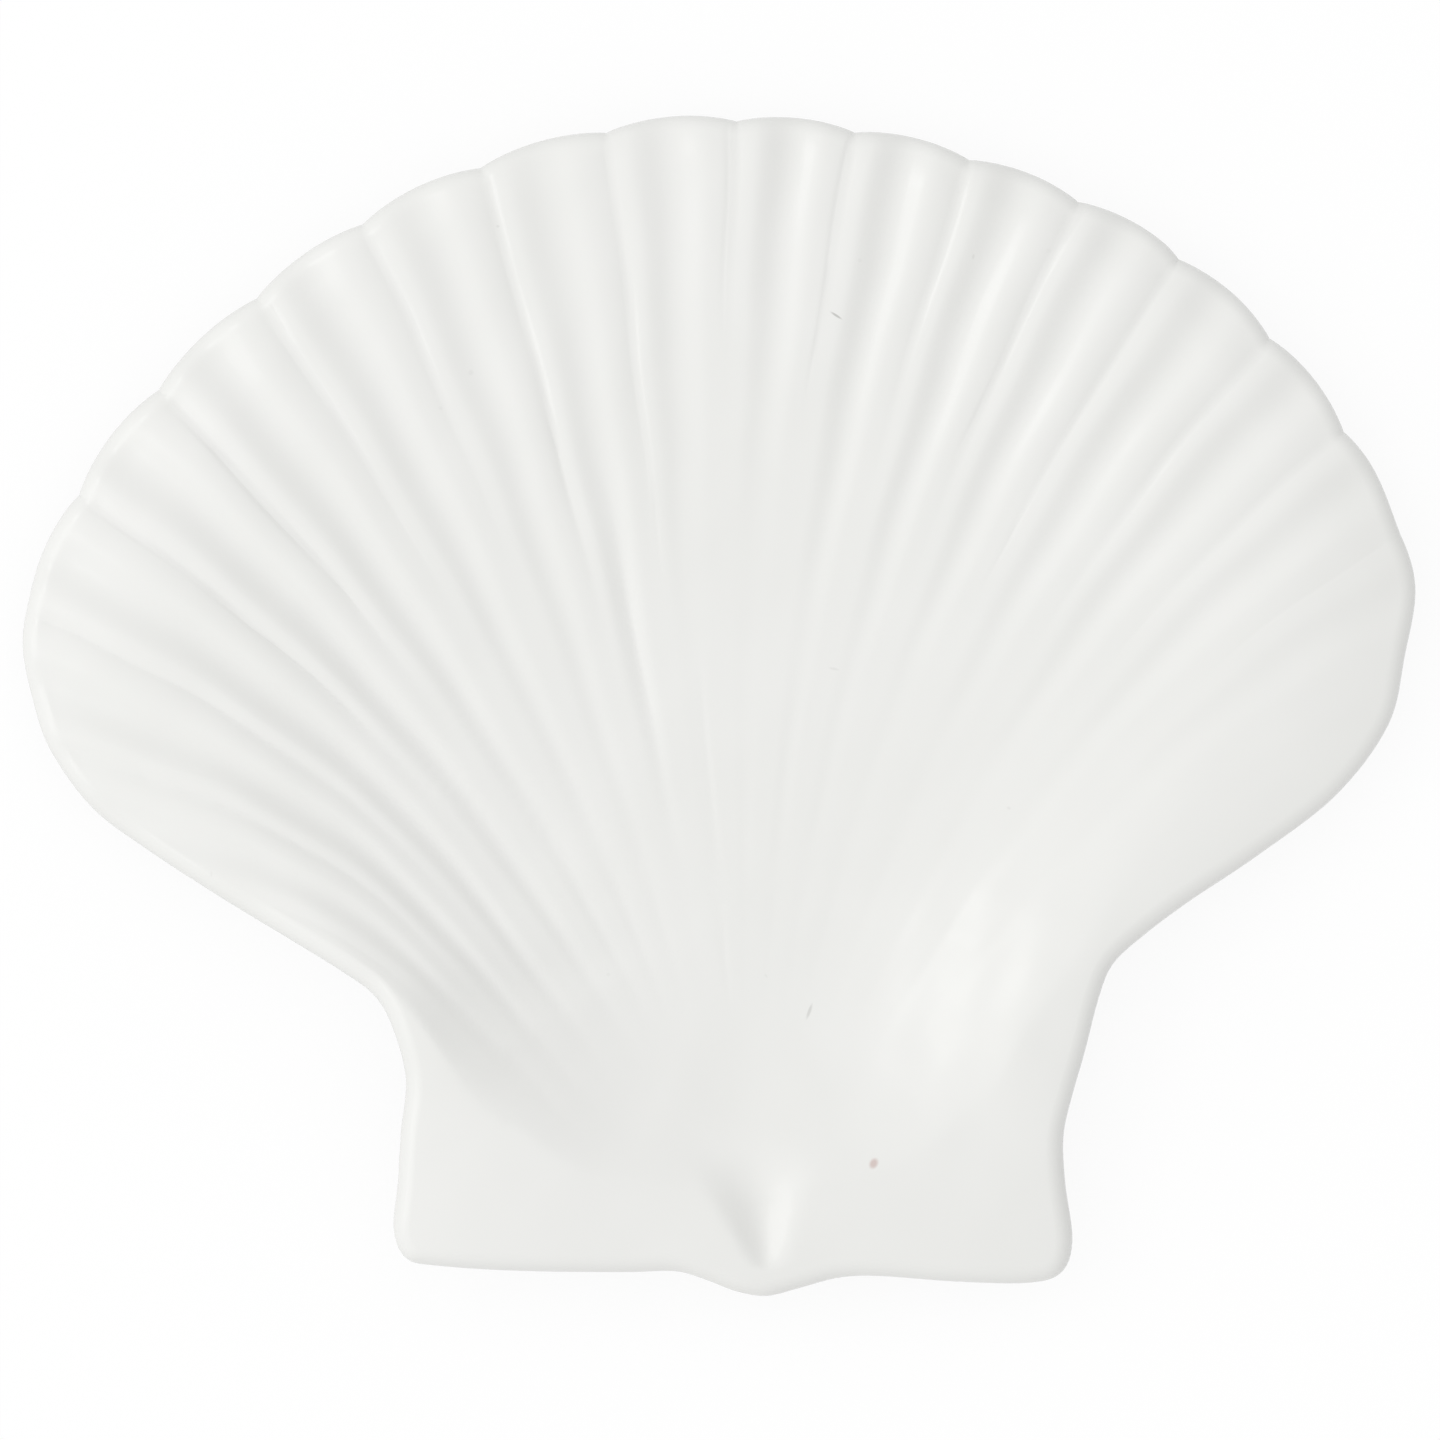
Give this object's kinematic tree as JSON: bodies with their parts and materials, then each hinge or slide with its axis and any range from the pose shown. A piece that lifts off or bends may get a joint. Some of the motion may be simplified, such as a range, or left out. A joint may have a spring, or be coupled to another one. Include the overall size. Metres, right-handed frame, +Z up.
{
  "type": "shell shaped platter",
  "caption": "Shell shaped serving platter in white glazed ceramic, with a fluted fan, flat ears and a beak, on a low oval foot.",
  "frame": {"origin": "centre of the outline's box on the plane that the foot stands on", "axes": "+X to the right, +Y towards the fluted fan edge, +Z up; the hinge side with the ears and the beak is at -Y"},
  "size_m": [0.2994, 0.2532, 0.0255],
  "materials": {
    "white_glaze": "glossy warm white glaze with a few pinholes, bare biscuit under the foot"
  },
  "bodies": {
    "root": {"platter": "white_glaze"}
  },
  "joints": []
}
